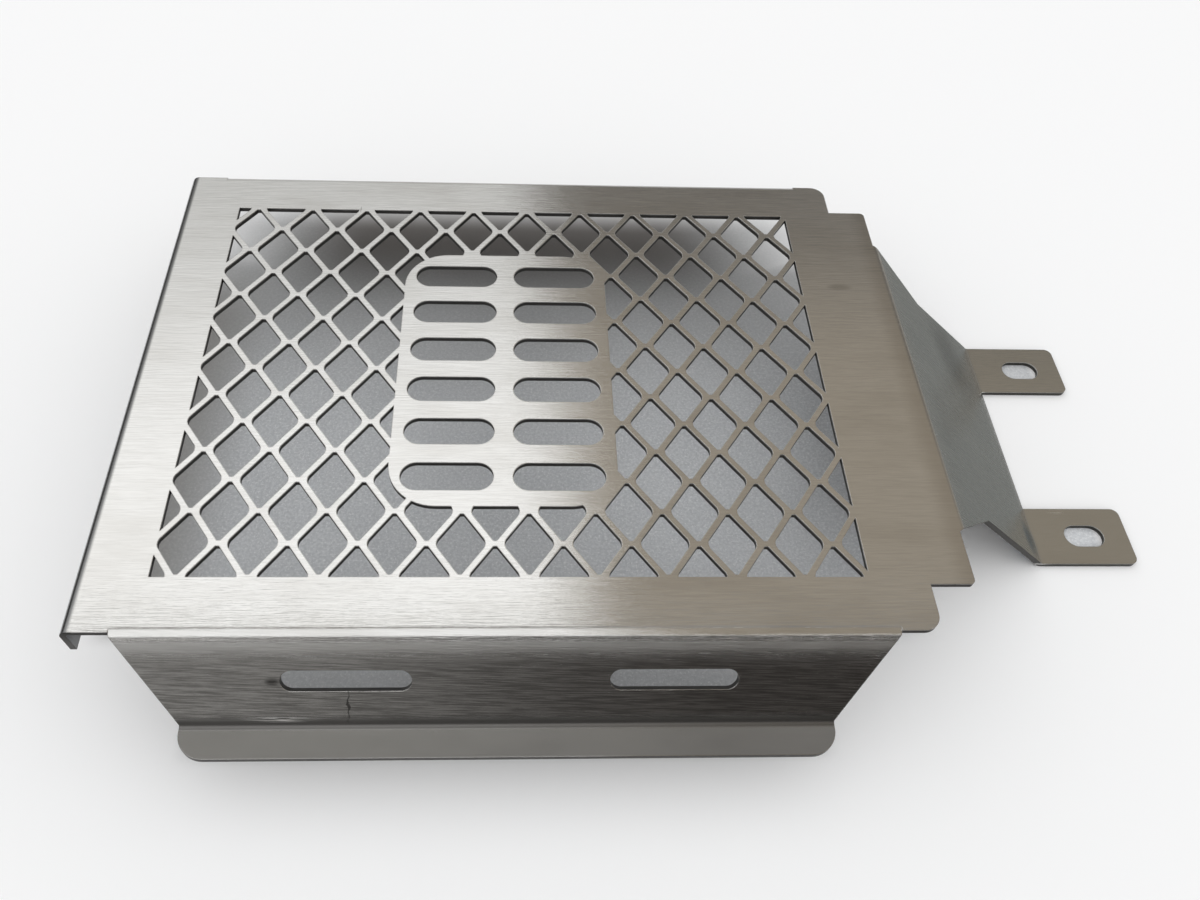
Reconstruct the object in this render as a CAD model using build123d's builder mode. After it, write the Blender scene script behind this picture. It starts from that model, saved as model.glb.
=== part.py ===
"""Motorcycle radiator guard: one stainless sheet, laser cut and folded in a press brake."""
import os
from math import cos, radians, sin, tan

from build123d import *

# Sheet and its bends
sheet = 1.8
bend_inside = 1.2

# Face, seen from above: X runs from the lip to the tabs, Y from the front wall to the rear wall
face_width = 189.0
lip_to_wall_middle = 123.2
wall_middle_to_flap_fold = 135.9
wall_middle_to_face_corner = 121.3
face_corner_radius = 5.0
shoulder_width = 160.0
shoulder_corner_radius = 1.6

# Lip folded down along the left edge
lip_depth = 11.0

# Side walls, one along each long edge, each with a level flange along its foot
wall_angle = 54.0
wall_drop = 24.3
wall_top_length = 219.2
wall_foot_length = 186.8
flange_width = 9.3
flange_corner_radius = 7.8
wall_slot_length = 36.6
wall_slot_width = 6.6
wall_slot_spacing = 92.2
wall_slot_down = 15.4

# Flap folded down at the right end, with two level tabs
flap_angle = 42.0
flap_drop = 43.2
flap_top_width = 124.8
flap_shoulder_width = 121.4
flap_width = 96.6
flap_taper = 25.0
tab_spread = 99.0
tab_gap = 54.0
tab_length = 34.7
tab_corner_radius = 2.8
tab_slot_length = 14.2
tab_slot_width = 8.6
tab_slot_from_end = 15.8

# Grille of crossing diagonal bars in the window
window_length = 206.0
window_width = 155.2
window_offset = 0.7
hole_spacing_x = 20.0
hole_spacing_y = 22.2
holes_along = 11
holes_across = 8
bridge_along = 4.3
bridge_across = 0.42
hole_side_chamfer = 1.27
hole_side_easing = 0.53
hole_tip_chamfer = 0.85

# Solid plate in the grille, with rows of plain vent slots
plate_length = 70.8
plate_width = 107.5
plate_offset = -2.8
plate_corner_radius = 15.0
plate_cover = 6.0
vent_rows = 6
vent_row_pitch = 17.2
vent_length = 28.6
vent_width = 10.2
vent_bridge = 6.0

# Places that follow from the sizes above
bend_outside = bend_inside + sheet
bend_middle = bend_inside + sheet / 2
wall_run = wall_drop / tan(radians(wall_angle))
flap_run = flap_drop / tan(radians(flap_angle))
wall_bend = bend_outside * tan(radians(wall_angle / 2))
foot_bend = bend_inside * tan(radians(wall_angle / 2))
flap_bend = bend_outside * tan(radians(flap_angle / 2))
overall_length = lip_to_wall_middle + wall_middle_to_flap_fold + flap_run + tab_length
lip_x = -overall_length / 2
middle_x = lip_x + lip_to_wall_middle
flap_fold_x = middle_x + wall_middle_to_flap_fold
tab_root_x = flap_fold_x + flap_run
tab_end_x = tab_root_x + tab_length
face_corner_x = middle_x + wall_middle_to_face_corner
face_top = flap_drop + sheet
wall_fold_y = face_width / 2
wall_foot_y = wall_fold_y + wall_run
flange_end_y = wall_foot_y + flange_width
grip = 3 * sheet


def fold_corner(across, height, angle):
    """Corner of the sheet's middle line where its upper sides meet at (across, height)."""
    return (across - sheet / 2 * tan(radians(angle) / 2), height - sheet / 2)


# Side wall with its flange: the folded section, trimmed to a trapezoid with a strip along its foot
with BuildPart() as side_wall:
    with BuildSketch(Plane.YZ.offset(middle_x)):
        with BuildLine():
            FilletPolyline(
                (wall_fold_y - wall_bend - grip, face_top - sheet / 2),
                fold_corner(wall_fold_y, face_top, wall_angle),
                fold_corner(wall_foot_y, face_top - wall_drop, wall_angle),
                (flange_end_y, face_top - wall_drop - sheet / 2),
                radius=bend_middle,
            )
        trace(line_width=sheet)
    extrude(amount=wall_top_length / 2, both=True)
    slope = radians(wall_angle)
    wall_side = Plane((middle_x, wall_fold_y, face_top), x_dir=(1, 0, 0), z_dir=(0, sin(slope), cos(slope)))
    wall_length = wall_drop / sin(slope)
    with BuildSketch(wall_side):
        with BuildLine():
            Polyline(
                (wall_top_length / 2, wall_bend),
                (wall_foot_length / 2, wall_length - foot_bend),
                (wall_foot_length / 2, wall_length + flange_width),
                (wall_top_length, wall_length + flange_width),
                (wall_top_length, wall_bend),
                close=True,
            )
        make_face()
        mirror(about=Plane.YZ)
    extrude(amount=flange_width + sheet, both=True, mode=Mode.SUBTRACT)
    fillet(side_wall.edges().filter_by(Axis.Z).group_by(Axis.Y)[-1], flange_corner_radius)
    with BuildSketch(wall_side):
        with Locations((0, wall_slot_down)):
            with GridLocations(wall_slot_spacing, 0, 2, 1):
                SlotOverall(wall_slot_length, wall_slot_width)
    extrude(amount=2 * sheet, both=True, mode=Mode.SUBTRACT)

# Flap with its tabs: the folded section, tapered below the fold and cut out between the tabs
with BuildPart() as flap:
    with BuildSketch(Plane.XZ):
        with BuildLine():
            FilletPolyline(
                (flap_fold_x - flap_bend - grip, face_top - sheet / 2),
                fold_corner(flap_fold_x, face_top, flap_angle),
                fold_corner(tab_root_x, sheet, flap_angle),
                (tab_end_x, sheet / 2),
                radius=bend_middle,
            )
        trace(line_width=sheet)
    extrude(amount=flap_top_width / 2, both=True)
    slope = radians(flap_angle)
    down_flap = (cos(slope), 0, -sin(slope))
    flap_side = Plane((flap_fold_x, 0, face_top), x_dir=down_flap, z_dir=(sin(slope), 0, cos(slope)))
    flap_length = flap_drop / sin(slope)
    with BuildSketch(flap_side):
        with BuildLine():
            Polyline(
                (-flap_bend, flap_top_width / 2),
                (flap_bend, flap_shoulder_width / 2),
                (flap_taper, flap_width / 2),
                (flap_length, tab_spread / 2),
                (flap_length + tab_length, tab_spread / 2),
                (flap_length + tab_length, flap_top_width),
                (-flap_bend, flap_top_width),
                close=True,
            )
        make_face()
        mirror(about=Plane.XZ)
    extrude(amount=tab_length, both=True, mode=Mode.SUBTRACT)
    with BuildSketch():
        with Locations((tab_root_x, 0)):
            Rectangle(2 * tab_length, tab_gap, align=(Align.MIN, Align.CENTER))
    extrude(amount=face_top, mode=Mode.SUBTRACT)
    fillet(flap.edges().filter_by(Axis.Z).group_by(Axis.X)[-1], tab_corner_radius)
    with BuildSketch():
        with Locations((tab_end_x - tab_slot_from_end, 0)):
            with GridLocations(0, (tab_spread + tab_gap) / 2, 1, 2):
                SlotOverall(tab_slot_length, tab_slot_width)
    extrude(amount=sheet, mode=Mode.SUBTRACT)

# Lip along the left edge
with BuildPart() as lip:
    with BuildSketch(Plane.XZ):
        with BuildLine():
            FilletPolyline(
                (lip_x + bend_outside + grip, face_top - sheet / 2),
                (lip_x + sheet / 2, face_top - sheet / 2),
                (lip_x + sheet / 2, face_top - lip_depth),
                radius=bend_middle,
            )
        trace(line_width=sheet)
    extrude(amount=face_width / 2, both=True)

# Outline of one hole of the grille: a diamond cut back at its tips, its side tips eased in short flats
half_along = hole_spacing_x / 2
half_across = hole_spacing_y / 2
with BuildSketch() as grille_hole:
    Polygon(
        (half_along - bridge_along / 2, 0),
        (0, half_across - bridge_across / 2),
        (bridge_along / 2 - half_along, 0),
        (0, bridge_across / 2 - half_across),
    )
    chamfer(grille_hole.vertices().sort_by(Axis.Y)[0::3], hole_tip_chamfer)
    chamfer(grille_hole.vertices().filter_by(lambda corner: abs(corner.Y) < sheet), hole_side_chamfer)
    chamfer(grille_hole.vertices().filter_by(lambda corner: abs(corner.Y) < sheet), hole_side_easing)


def open_places(shift, rows):
    """Places of one grid of holes, without the holes that the plate covers."""
    return [
        place
        for place in GridLocations(hole_spacing_x, hole_spacing_y, holes_along, rows).locations
        if abs(place.position.X + shift - plate_offset) > plate_length / 2 - plate_cover
        or abs(place.position.Y) > plate_width / 2 - plate_cover
    ]


# All the holes: two interleaved grids, kept inside the window and clear of the plate
first_grid = open_places(-half_along / 2, holes_across)
second_grid = open_places(half_along / 2, holes_across - 1)
with BuildSketch(Plane.XY.offset(face_top)) as grille:
    with Locations((middle_x - half_along / 2, 0)):
        with Locations(*first_grid):
            add(grille_hole.sketch)
    with Locations((middle_x + half_along / 2, 0)):
        with Locations(*second_grid):
            add(grille_hole.sketch)
    with Locations((middle_x + window_offset, 0)):
        Rectangle(window_length, window_width, mode=Mode.INTERSECT)
    with Locations((middle_x + plate_offset, 0)):
        RectangleRounded(plate_length, plate_width, plate_corner_radius, mode=Mode.SUBTRACT)

# The guard: face with its stepped right corners, the folds, the grille and the vents
with BuildPart() as radiator_guard:
    with BuildSketch(Plane.XY.offset(face_top - sheet)) as face:
        with Locations((lip_x + bend_outside, 0)):
            Rectangle(face_corner_x - lip_x - bend_outside, face_width, align=(Align.MIN, Align.CENTER))
        fillet(face.vertices().group_by(Axis.X)[-1], face_corner_radius)
        with Locations((middle_x, wall_fold_y), (middle_x, -wall_fold_y)):
            Rectangle(wall_top_length, 2 * wall_bend, mode=Mode.SUBTRACT)
        with BuildSketch(mode=Mode.PRIVATE) as shoulder:
            with Locations((flap_fold_x - flap_bend, 0)):
                Rectangle(4 * face_corner_radius, shoulder_width, align=(Align.MAX, Align.CENTER))
            fillet(shoulder.vertices().group_by(Axis.X)[-1], shoulder_corner_radius)
        add(shoulder.sketch)
    extrude(amount=sheet)
    add(lip.part)
    add(side_wall.part)
    add(side_wall.part.mirror(Plane.XZ))
    add(flap.part)
    add(grille.sketch)
    extrude(amount=-sheet, mode=Mode.SUBTRACT)
    with BuildSketch(Plane.XY.offset(face_top)):
        with Locations((middle_x + plate_offset, 0)):
            with GridLocations(vent_length + vent_bridge, vent_row_pitch, 2, vent_rows):
                SlotOverall(vent_length, vent_width)
    extrude(amount=-sheet, mode=Mode.SUBTRACT)

radiator_guard.part.label = "radiator_guard"
os.makedirs("parts", exist_ok=True)
export_step(radiator_guard.part, "parts/radiator_guard.step")
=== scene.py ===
"""Studio scene of a folded stainless steel radiator guard, on a pale floor in plain soft light."""
from collections import namedtuple
from math import radians
from types import SimpleNamespace

import bpy
from mathutils import Euler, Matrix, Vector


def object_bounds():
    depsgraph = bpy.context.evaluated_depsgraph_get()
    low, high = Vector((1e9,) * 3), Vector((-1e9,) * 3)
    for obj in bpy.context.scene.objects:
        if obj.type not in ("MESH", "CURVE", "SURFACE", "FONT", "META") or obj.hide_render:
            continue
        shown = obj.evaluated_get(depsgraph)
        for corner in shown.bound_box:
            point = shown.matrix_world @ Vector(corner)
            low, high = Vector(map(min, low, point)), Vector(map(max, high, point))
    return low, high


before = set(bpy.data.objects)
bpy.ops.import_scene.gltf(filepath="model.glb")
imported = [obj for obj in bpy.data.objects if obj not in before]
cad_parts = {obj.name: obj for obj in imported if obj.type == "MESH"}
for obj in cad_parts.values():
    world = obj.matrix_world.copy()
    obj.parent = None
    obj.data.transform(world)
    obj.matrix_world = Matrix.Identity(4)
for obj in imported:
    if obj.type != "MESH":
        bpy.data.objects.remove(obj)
cad_low, cad_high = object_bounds()

# Places on the guard, in metres. X runs from the lip to the tabs, Y from the front wall to the rear wall.
FACE_TOP = cad_high[2]
LIP_X = cad_low[0]
WALL_MIDDLE_X = LIP_X + 0.1232
FLAP_FOLD_X = WALL_MIDDLE_X + 0.1359
TABS_FROM_X = 0.13
WALL_FOLD_Y = 0.0945
WALL_FOOT_Y = 0.1122
FLANGE_TOP = 0.0207
TAB_TOP = 0.0018

# How the brushing is drawn out, as repeats per metre along X, Y and Z
HAIR_GRAIN = (130.0, 3200.0, 100.0)
STRAND_GRAIN = (95.0, 2000.0, 95.0)
STROKE_GRAIN = (40.0, 2300.0, 40.0)
PATCH_GRAIN = (22.0, 60.0, 22.0)

# On the walls the brushing turns down the slope and drifts a little to one side
WALL_STRETCH = 1.2
WALL_DRIFT = 0.055

# Tones of the steel, as linear red, green and blue
HAIR_DARK, HAIR_PALE = (0.77, 0.765, 0.75), (0.93, 0.925, 0.91)
STRAND_TONE = (0.66, 0.645, 0.62)
PATCH_TONE = (0.62, 0.60, 0.565)
WALL_DARK, WALL_PALE = (0.40, 0.39, 0.375), (0.94, 0.93, 0.91)
STROKE_TONE = (0.95, 0.945, 0.935)
# Painted shade on the flanges, darker than the rest of the sheet
FLANGE_SHADE_DARK, FLANGE_SHADE_PALE = (0.34, 0.336, 0.326), (0.60, 0.595, 0.58)
FLAP_FOLD_TONE = (0.46, 0.42, 0.37)
# Painted shade on the lip and its bend
LIP_BEND_SHADE_TONE = (0.17, 0.172, 0.175)
# Painted shade in the crease between each wall and its flange
CREASE_SHADE_TONE = (0.16, 0.155, 0.15)
TAB_TONE = (0.57, 0.575, 0.555)
# The flap's darker tones are partly its smoother finish and partly painted shade
FLAP_DULL_SHADE_DARK, FLAP_DULL_SHADE_PALE = (0.50, 0.515, 0.505), (0.70, 0.71, 0.69)
# The underside is duller and carries painted shade
UNDERSIDE_SHADE_TONE = (0.25, 0.243, 0.235)
SCUFF_TONE = (0.96, 0.955, 0.945)
# The cut edges' rim is bright deburred metal with a painted highlight
CUT_TONE, CUT_RIM_HIGHLIGHT_TONE = (0.085, 0.082, 0.078), (0.80, 0.79, 0.77)

# Marks on the steel, and a painted shade across the flap
Mark = namedtuple("Mark", "middle reach strength tone")
HEAT_TINT = Mark((0.1325, -0.041, 0.003), (0.005, 0.010, 0.007), 0.8, (0.20, 0.29, 0.38))
FLAP_PAINTED_SHADE = Mark((0.117, 0.032, 0.016), (0.016, 0.022, 0.016), 0.5, (0.30, 0.30, 0.29))
MARGIN_SMUDGE = Mark((0.070, 0.040, 0.045), (0.006, 0.0022, 0.004), 0.35, (0.30, 0.285, 0.26))
SLOT_SMUDGE = Mark((-0.1142, -0.1037, 0.0323), (0.0030, 0.0015, 0.0022), 1.0, (0.10, 0.095, 0.09))
WALL_SCRATCH = Mark((-0.0934, -0.1084, 0.0262), (0.00042, 0.0062, 0.0086), 0.8, (0.10, 0.095, 0.09))
WINDOW_HAIRLINE = Mark((-0.1050, 0.0776, 0.045), (0.00022, 0.0022, 0.002), 0.7, (0.12, 0.115, 0.11))
WALL_SCUFF = Mark((-0.1125, -0.1108, 0.0226), (0.013, 0.0011, 0.0015), 1.0, SCUFF_TONE)
TAB_SCUFF = Mark((0.1480, -0.0285, 0.0018), (0.0040, 0.0009, 0.001), 0.4, SCUFF_TONE)

# Tones of the floor, and of the painted shadow below the guard
FLOOR_PALE = (0.95, 0.952, 0.955)
FLOOR_SHADOW_DARK, FLOOR_SHADOW_PALE = (0.52, 0.537, 0.556), (0.80, 0.817, 0.835)
FLECK_TONE = (0.93, 0.94, 0.95)
REAR_SHADE = (0.32, 0.318, 0.312)
BEHIND_SHADE = (0.15, 0.138, 0.128)
LIP_SHADE = (0.22, 0.21, 0.195)
FRONT_SHADE = (0.28, 0.28, 0.275)
FLOOR_REACH = 12.0

# Outputs of the Texture Coordinate node, and the axes in the order of a vector's parts
GENERATED, NORMAL, OBJECT = 0, 1, 3
X, Y, Z = range(3)


class Value:
    """A shader socket that takes part in arithmetic: each operator adds its Math node."""

    def __init__(self, finish, socket):
        self.finish = finish
        self.socket = socket

    def _math(self, operation, *terms, **settings):
        return self.finish.node("ShaderNodeMath", {"operation": operation, **settings}, dict(enumerate(terms)))

    def __add__(self, other):
        return self._math("ADD", self, other)

    __radd__ = __add__

    def __sub__(self, other):
        return self._math("SUBTRACT", self, other)

    def __rsub__(self, other):
        return self._math("SUBTRACT", other, self)

    def __mul__(self, other):
        return self._math("MULTIPLY", self, other)

    __rmul__ = __mul__

    def __truediv__(self, other):
        return self._math("DIVIDE", self, other)

    def __abs__(self):
        return self._math("ABSOLUTE", self)

    def above(self, limit):
        return self._math("GREATER_THAN", self, limit)

    def below(self, limit):
        return self._math("LESS_THAN", self, limit)

    def most(self, other):
        return self._math("MAXIMUM", self, other)

    def clamped(self):
        return self._math("ADD", self, 0.0, use_clamp=True)


class Finish:
    """A material or a world, built node by node."""

    def __init__(self, owner, output):
        owner.use_nodes = True
        self.tree = owner.node_tree
        self.tree.nodes.clear()
        self.output = self.tree.nodes.new(output)

    def node(self, kind, settings=None, inputs=None, output=0):
        """Add a node and return one of its outputs."""
        made = self.tree.nodes.new(kind)
        for name, setting in (settings or {}).items():
            setattr(made, name, setting)
        for name, given in (inputs or {}).items():
            if isinstance(given, Value):
                self.tree.links.new(given.socket, made.inputs[name])
            else:
                made.inputs[name].default_value = given
        return Value(self, made.outputs[output])

    def surface(self, shader):
        self.tree.links.new(shader.socket, self.output.inputs["Surface"])

    def ramp(self, low, high, amount):
        """0 at low, 1 at high and smooth between them. Low may be the larger of the two."""
        return self.node(
            "ShaderNodeMapRange",
            {"interpolation_type": "SMOOTHSTEP"},
            {"Value": amount, "From Min": low, "From Max": high},
        )

    def noise(self, place, scale, detail=2.0, roughness=0.5):
        return self.node(
            "ShaderNodeTexNoise",
            None,
            {"Vector": place, "Scale": scale, "Detail": detail, "Roughness": roughness},
        )

    def grain(self, place, scales, detail=2.0, roughness=0.5):
        """Noise with its own scale along each axis."""
        stretched = self.node("ShaderNodeMapping", None, {"Vector": place, "Scale": scales})
        return self.noise(stretched, 1.0, detail, roughness)

    def mixed(self, amount, first, second):
        """Colour first where amount is 0, colour second where it is 1."""
        first, second = ((*tone, 1.0) if isinstance(tone, tuple) else tone for tone in (first, second))
        return self.node(
            "ShaderNodeMix",
            {"data_type": "RGBA"},
            {0: amount, 6: first, 7: second},
            output=2,
        )

    def vector(self, x, y, z):
        return self.node("ShaderNodeCombineXYZ", None, {"X": x, "Y": y, "Z": z})

    def parts(self, vector):
        """The X, Y and Z of a vector."""
        split = self.node("ShaderNodeSeparateXYZ", None, {0: vector}).socket.node
        return [Value(self, socket) for socket in split.outputs]

    def spot(self, place, mark):
        """1 at the middle of a mark, fading to 0 at its reach along each axis."""
        away = self.node("ShaderNodeVectorMath", {"operation": "SUBTRACT"}, {0: place, 1: mark.middle})
        away = self.node("ShaderNodeVectorMath", {"operation": "DIVIDE"}, {0: away, 1: mark.reach})
        return self.ramp(1.0, 0.25, self.node("ShaderNodeVectorMath", {"operation": "LENGTH"}, {0: away}, output=1))

    def marked(self, sheet, place, mark, share=1.0):
        """The sheet's colour with a mark on it."""
        return self.mixed(self.spot(place, mark) * mark.strength * share, sheet, mark.tone)


def guard_zones(finish, place):
    """Zones of the guard, each 1 inside the zone and 0 outside."""
    x, y, z = finish.parts(place)
    _, normal_y, normal_z = finish.parts(finish.node("ShaderNodeTexCoord", output=NORMAL))

    walls = finish.ramp(WALL_FOLD_Y + 0.0005, WALL_FOLD_Y + 0.0030, abs(y))
    crease_inside = finish.ramp(WALL_FOOT_Y + 0.0014, WALL_FOOT_Y + 0.0005, abs(y))
    flap_top = finish.ramp(FLAP_FOLD_X - 0.0005, FLAP_FOLD_X + 0.0020, x)
    fold_rise = finish.ramp(FLAP_FOLD_X - 0.009, FLAP_FOLD_X - 0.001, x)
    fold_fall = finish.ramp(FLAP_FOLD_X + 0.0015, FLAP_FOLD_X, x)

    # Cut edges stand square to the sheet: level on the face and tabs, in the slope on walls and flap
    level_cut = abs(normal_z).below(0.2) * x.above(LIP_X + 0.004)
    side_cut = abs(normal_y).above(0.83)
    slope_cut = (normal_y * normal_z * y * 1000.0).below(-1.0)
    tab_rim = z.above(TAB_TOP - 0.0004) * z.below(TAB_TOP + 0.0001)

    return SimpleNamespace(
        walls=walls,
        near_fold=walls * finish.ramp(FACE_TOP - 0.011, FACE_TOP - 0.001, z),
        rounding=((z - (FACE_TOP - 0.0075)) / 0.0075).clamped(),
        flange=finish.ramp(FLANGE_TOP + 0.0025, FLANGE_TOP + 0.0005, z) * walls,
        crease=walls * finish.ramp(FLANGE_TOP + 0.0033, FLANGE_TOP + 0.0009, z) * crease_inside,
        lip_bend=finish.ramp(LIP_X + 0.0034, LIP_X + 0.0022, x) * z.above(0.03),
        flap_fold=fold_rise * fold_fall * z.above(FACE_TOP - 0.001),
        flap=flap_top * finish.ramp(0.0022, 0.0060, z),
        tabs=finish.ramp(TAB_TOP + 0.0012, TAB_TOP + 0.0004, z) * x.above(TABS_FROM_X),
        underside=finish.ramp(-0.2, -0.5, normal_z),
        cut=level_cut.most(side_cut).most(slope_cut),
        # cut_rim is where a painted highlight runs along the top of the cut edges and the tabs' rims
        cut_rim=level_cut * (z.above(FACE_TOP - 0.0004) * 0.5 + tab_rim),
    )


def brushing(finish, place):
    """Brushing along X, laid on down the slope of the walls: hairs, longer strands and deep strokes."""
    x, y, z = finish.parts(place)
    beyond_fold = abs(y).above(WALL_FOLD_Y - 0.001)
    outward = y.above(0.0) * 2.0 - 1.0
    down_slope = outward * (FACE_TOP - z) * WALL_STRETCH * beyond_fold
    across = y + down_slope + x * WALL_DRIFT * beyond_fold
    brushed = finish.vector(x, across, z * 0.1)
    return SimpleNamespace(
        hairs=finish.grain(brushed, HAIR_GRAIN),
        strands=finish.grain(brushed, STRAND_GRAIN, 4.0, 0.65),
        strokes=finish.ramp(0.62, 0.74, finish.grain(brushed, STROKE_GRAIN)),
        patches=finish.grain(place, PATCH_GRAIN, 3.0, 0.55),
    )


def clean_steel(finish, zone, brush):
    """Colour of the brushed sheet, zone by zone, before its marks."""
    steel = finish.mixed(brush.hairs, HAIR_DARK, HAIR_PALE)
    steel = finish.mixed(finish.ramp(0.40, 0.70, brush.strands) * 0.28, steel, STRAND_TONE)
    steel = finish.mixed(finish.ramp(0.42, 0.70, brush.patches) * 0.30, steel, PATCH_TONE)
    streaked = finish.mixed(finish.ramp(0.38, 0.62, brush.strands), WALL_DARK, WALL_PALE)
    steel = finish.mixed(zone.walls * (1 - zone.flange) * (1 - zone.near_fold) * 0.8, steel, streaked)
    steel = finish.mixed(zone.walls * brush.strokes * 0.5, steel, STROKE_TONE)
    # Painted shade: the flanges are darkened, mottled by the patches
    steel = finish.mixed(zone.flange * 0.85, steel, finish.mixed(brush.patches, FLANGE_SHADE_DARK, FLANGE_SHADE_PALE))
    steel = finish.mixed(zone.flap_fold * 0.4, steel, FLAP_FOLD_TONE)
    # Painted shade: the lip and its bend are darkened
    steel = finish.mixed(zone.lip_bend * 0.9, steel, LIP_BEND_SHADE_TONE)
    # Painted shade: the inside of the crease at each wall's foot is darkened
    steel = finish.mixed(zone.crease * 0.9, steel, CREASE_SHADE_TONE)
    steel = finish.mixed(zone.tabs * 0.6, steel, TAB_TONE)
    # The flap is darker: partly its smoother finish, partly painted shade
    steel = finish.mixed(zone.flap * 0.96, steel, finish.mixed(brush.patches, FLAP_DULL_SHADE_DARK, FLAP_DULL_SHADE_PALE))
    # The underside is duller and darkened with painted shade
    return finish.mixed(zone.underside, steel, UNDERSIDE_SHADE_TONE)


def handled_steel(finish, place, steel, brush):
    """The sheet's colour with its heat tint, smudges and lines, and a painted shade across the flap."""
    x, y, z = finish.parts(place)
    steel = finish.marked(steel, place, HEAT_TINT)
    # Painted shade across the flap
    steel = finish.marked(steel, place, FLAP_PAINTED_SHADE)
    steel = finish.marked(steel, place, MARGIN_SMUDGE)
    steel = finish.marked(steel, place, SLOT_SMUDGE, finish.ramp(0.42, 0.56, brush.strands))
    wander = (finish.noise(place, 420.0, 2.0, 0.6) - 0.5) * 0.003
    steel = finish.marked(steel, finish.vector(x + wander, y, z), WALL_SCRATCH)
    return finish.marked(steel, place, WINDOW_HAIRLINE)


def brushed_stainless():
    """Stainless sheet brushed along X, with darker laser cut edges and a duller underside that is also darkened
    with painted shade.
    """
    material = bpy.data.materials.new("brushed_stainless")
    finish = Finish(material, "ShaderNodeOutputMaterial")
    place = finish.node("ShaderNodeTexCoord", output=OBJECT)
    zone = guard_zones(finish, place)
    brush = brushing(finish, place)

    steel = handled_steel(finish, place, clean_steel(finish, zone, brush), brush)
    scuffs = finish.spot(place, WALL_SCUFF).most(finish.spot(place, TAB_SCUFF) * TAB_SCUFF.strength)
    scuffs = scuffs * finish.ramp(0.48, 0.58, brush.hairs)
    steel = finish.mixed(scuffs * 0.8, steel, SCUFF_TONE)
    # The cut edges' rim carries a painted highlight, partly bright deburred metal
    colour = finish.mixed(zone.cut, steel, finish.mixed(zone.cut_rim, CUT_TONE, CUT_RIM_HIGHLIGHT_TONE))

    fine_roughness = 0.08 + brush.hairs * 0.05 + brush.strands * 0.04
    zone_roughness = zone.near_fold * 0.26 + zone.crease * 0.3 + zone.flap * 0.15 + zone.underside * 0.3
    sheet_roughness = fine_roughness + zone_roughness + scuffs * 0.5
    roughness = sheet_roughness * (1 - zone.cut) + zone.cut * (0.45 + zone.cut_rim * 0.1)

    # The brushing is flat on the flap and nearly so on the flanges. The walls' folds are rounded further.
    smooth = zone.flap.most(zone.flange * 0.93)
    grooves = (brush.hairs * 0.33 + brush.strands * 0.42) * (1 - zone.cut) * (1 - smooth)
    height = grooves * (0.7 + zone.walls * 0.15) - zone.rounding * zone.rounding * 7.5
    eased = finish.node("ShaderNodeBevel", {"samples": 4}, {"Radius": 0.0004})
    normal = finish.node(
        "ShaderNodeBump",
        None,
        {"Strength": 0.5, "Distance": 0.00022, "Height": height, "Normal": eased},
    )
    finish.surface(
        finish.node(
            "ShaderNodeBsdfPrincipled",
            None,
            {"Base Color": colour, "Metallic": 1.0, "Roughness": roughness, "Normal": normal},
        )
    )
    return material


def level(x_low, x_high, y_low, y_high, height):
    """Corners of a level sheet."""
    return [(x_low, y_low, height), (x_high, y_low, height), (x_high, y_high, height), (x_low, y_high, height)]


def upright(first, second, height):
    """Corners of a sheet that stands on the floor, between two points."""
    return [(*first, 0), (*second, 0), (*second, height), (*first, height)]


def flat_sheet(name, corners, material):
    """A flat four-cornered mesh that belongs to the studio, not to the guard."""
    mesh = bpy.data.meshes.new(name)
    mesh.from_pydata(corners, [], [(0, 1, 2, 3)])
    mesh.materials.append(material)
    made = bpy.data.objects.new(name, mesh)
    bpy.context.collection.objects.link(made)
    return made


def painted_floor_shadow(finish, place, x, y):
    """Colour of the painted shadow on the floor that shows through the guard: speckled, and darker away from the
    middle.
    """
    speckle = finish.ramp(0.35, 0.70, finish.noise(place, 900.0, 3.0, 0.7))
    cloud = finish.noise(place, 28.0)
    flecks = finish.ramp(0.60, 0.68, finish.noise(place, 1300.0, 1.0))
    behind = finish.ramp(0.068, 0.110, y) * finish.ramp(0.108, 0.058, abs(x - WALL_MIDDLE_X))
    beside_lip = finish.ramp(-0.140, -0.172, x) * finish.ramp(0.100, 0.060, y)
    grey = finish.mixed(speckle * 0.5 + cloud * 0.5, FLOOR_SHADOW_DARK, FLOOR_SHADOW_PALE)
    grey = finish.mixed(flecks * 0.55, grey, FLECK_TONE)
    # The painted shadow deepens towards the rear, behind the walls, beside the lip and at the front
    grey = finish.mixed(finish.ramp(0.0, 0.105, y) * 0.7, grey, REAR_SHADE)
    grey = finish.mixed(behind * 0.88, grey, BEHIND_SHADE)
    grey = finish.mixed(beside_lip * 0.8, grey, LIP_SHADE)
    return finish.mixed(finish.ramp(-0.075, -0.092, y) * 0.35, grey, FRONT_SHADE)


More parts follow.
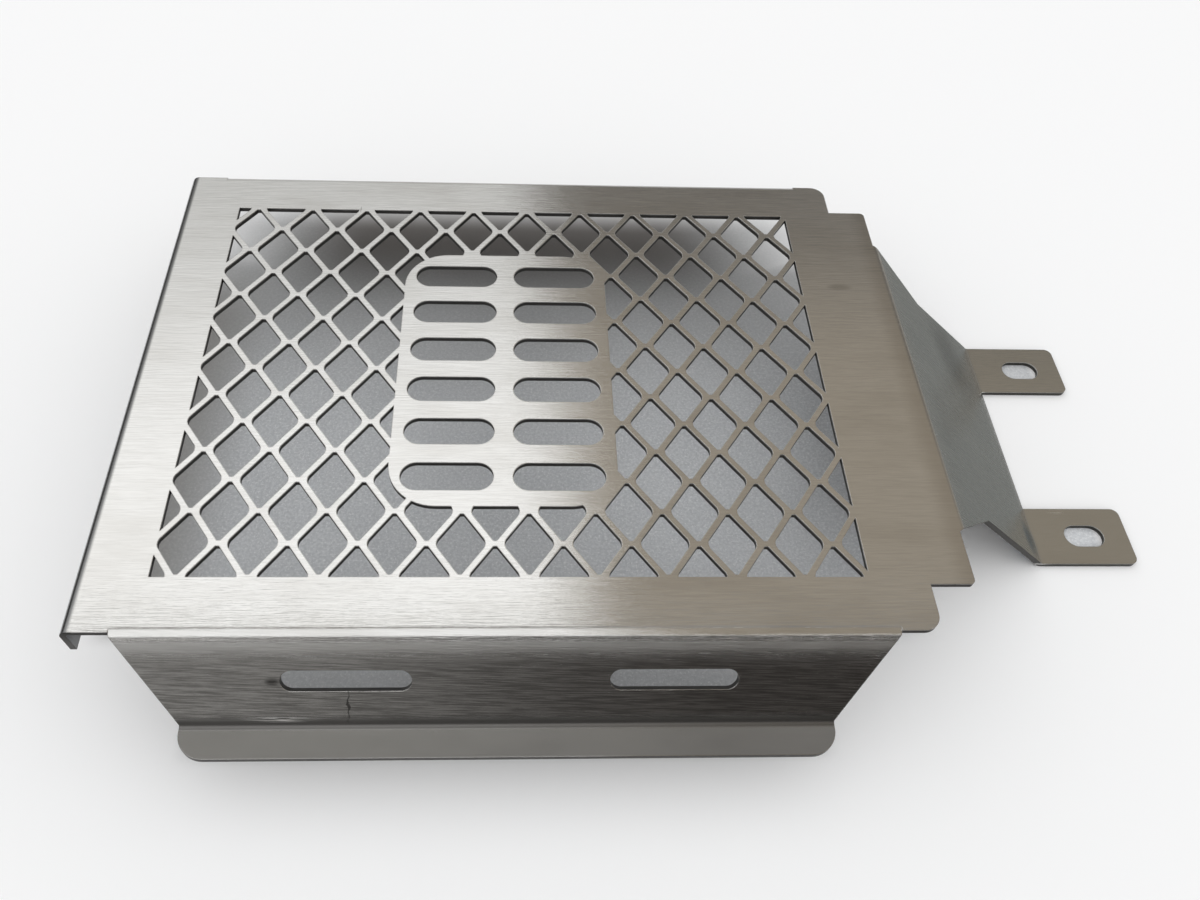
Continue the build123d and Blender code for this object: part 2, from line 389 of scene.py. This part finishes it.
def floor():
    """Pale floor, with a grey, speckled painted shadow below the guard."""
    material = bpy.data.materials.new("pale_floor")
    finish = Finish(material, "ShaderNodeOutputMaterial")
    place = finish.node("ShaderNodeTexCoord", output=OBJECT)
    x, y, _ = finish.parts(place)
    from_middle = abs(x - WALL_MIDDLE_X)

    under_length = finish.ramp(LIP_X - 0.015, LIP_X - 0.004, x) * finish.ramp(0.098, 0.074, x)
    behind_walls = finish.ramp(0.142, 0.116, y) * finish.ramp(0.150, 0.092, from_middle)
    before_rear = behind_walls.most(finish.ramp(0.112, 0.090, y))
    under_face = under_length * finish.ramp(-0.080, -0.068, y) * before_rear
    under_walls = finish.ramp(0.102, 0.092, from_middle) * finish.ramp(0.118, 0.108, abs(y))
    slot_length = finish.ramp(0.146, 0.149, x) * finish.ramp(0.162, 0.159, x)
    under_tab_slots = slot_length * finish.ramp(0.046, 0.044, abs(y)) * abs(y).above(0.030)
    # Painted shadow: the floor turns grey below the guard and under its tab slots
    shadow_below_guard = under_face.most(under_walls).most(under_tab_slots)

    finish.surface(
        finish.node(
            "ShaderNodeBsdfPrincipled",
            None,
            {
                "Base Color": finish.mixed(shadow_below_guard, FLOOR_PALE, painted_floor_shadow(finish, place, x, y)),
                "Roughness": 0.9,
                "Specular IOR Level": 0.1,
            },
        )
    )
    flat_sheet("floor", level(-FLOOR_REACH, FLOOR_REACH, -FLOOR_REACH, FLOOR_REACH, 0), material)


def card(name, corners, near, far, axis=X, start=0.0, end=1.0):
    """A card that only shows as a reflection in the steel, fading from one tone to another along an axis."""
    material = bpy.data.materials.new(name)
    finish = Finish(material, "ShaderNodeOutputMaterial")
    along = finish.parts(finish.node("ShaderNodeTexCoord", output=OBJECT))[axis]
    tone = finish.mixed(finish.ramp(start, end, along), near, far)
    finish.surface(finish.node("ShaderNodeEmission", None, {"Color": tone, "Strength": 1.0}))
    made = flat_sheet(name, corners, material)
    made.visible_camera = False
    made.visible_shadow = False
    made.visible_diffuse = False


def cards():
    """The room that the steel mirrors."""
    card(
        "card_right",
        [(0.093, -1.0, 0.645), (1.6, -1.0, 0.645), (1.6, 1.4, 0.645), (-0.054, 1.4, 0.645)],
        (0.300, 0.265, 0.215), (0.150, 0.141, 0.129), Y, 0.50, 0.84,
    )
    card(
        "card_right_side", upright((1.6, -1.0), (1.6, 3.0), 0.66),
        (0.30, 0.28, 0.25), (0.30, 0.28, 0.25),
    )
    card(
        "card_rear", upright((-4, 1.6), (4, 1.6), 7),
        (0.50, 0.50, 0.49), (1.05, 1.05, 1.04), Z, 0.9, 2.4,
    )
    card(
        "card_above", level(-0.6, 0.5, -0.055, 0.022, 0.33),
        (0.33, 0.322, 0.306), (0.25, 0.242, 0.232), X, -0.2, 0.15,
    )
    card(
        "card_front", upright((-1.2, -1.0), (1.2, -1.0), 0.55),
        (0.235, 0.231, 0.224), (0.044, 0.040, 0.037), X, -0.50, 0.20,
    )
    card(
        "card_front_low", level(-1.2, 1.2, -1.0, -0.135, 0.002),
        (0.15, 0.147, 0.142), (0.035, 0.032, 0.030), X, -0.3, 0.15,
    )
    card(
        "card_right_low", level(0.138, 1.2, -0.5, 1.2, 0.001),
        (0.20, 0.205, 0.198), (0.20, 0.205, 0.198),
    )
    card(
        "card_left", upright((-1.0, -1.0), (-1.0, 2.0), 0.5),
        (0.15, 0.15, 0.15), (0.15, 0.15, 0.15),
    )


def soft_light():
    """A plain white world, a little dimmer overhead."""
    world = bpy.data.worlds.new("white_studio")
    finish = Finish(world, "ShaderNodeOutputWorld")
    height = finish.parts(finish.node("ShaderNodeTexCoord", output=GENERATED))[Z]
    sky = finish.mixed(finish.ramp(0.40, 0.85, height), (1.06, 1.06, 1.06), (0.95, 0.95, 0.95))
    finish.surface(finish.node("ShaderNodeBackground", None, {"Color": sky, "Strength": 1.0}))
    bpy.context.scene.world = world


def camera():
    """The photograph's camera, solved from the guard's outline and lattice."""
    data = bpy.data.cameras.new("camera")
    data.sensor_width = 36.0
    data.lens = 29.184
    data.shift_x = 0.039
    data.clip_start = 0.01
    made = bpy.data.objects.new("camera", data)
    made.location = (-0.04846, -0.20979, 0.29263)
    made.rotation_euler = Euler((radians(35.545), radians(-2.247), radians(-1.207)))
    bpy.context.collection.objects.link(made)
    bpy.context.scene.camera = made


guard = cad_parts["radiator_guard"]
guard.data.materials.clear()
guard.data.materials.append(brushed_stainless())
soft_light()
floor()
cards()
camera()
bpy.context.scene.view_settings.view_transform = "Standard"
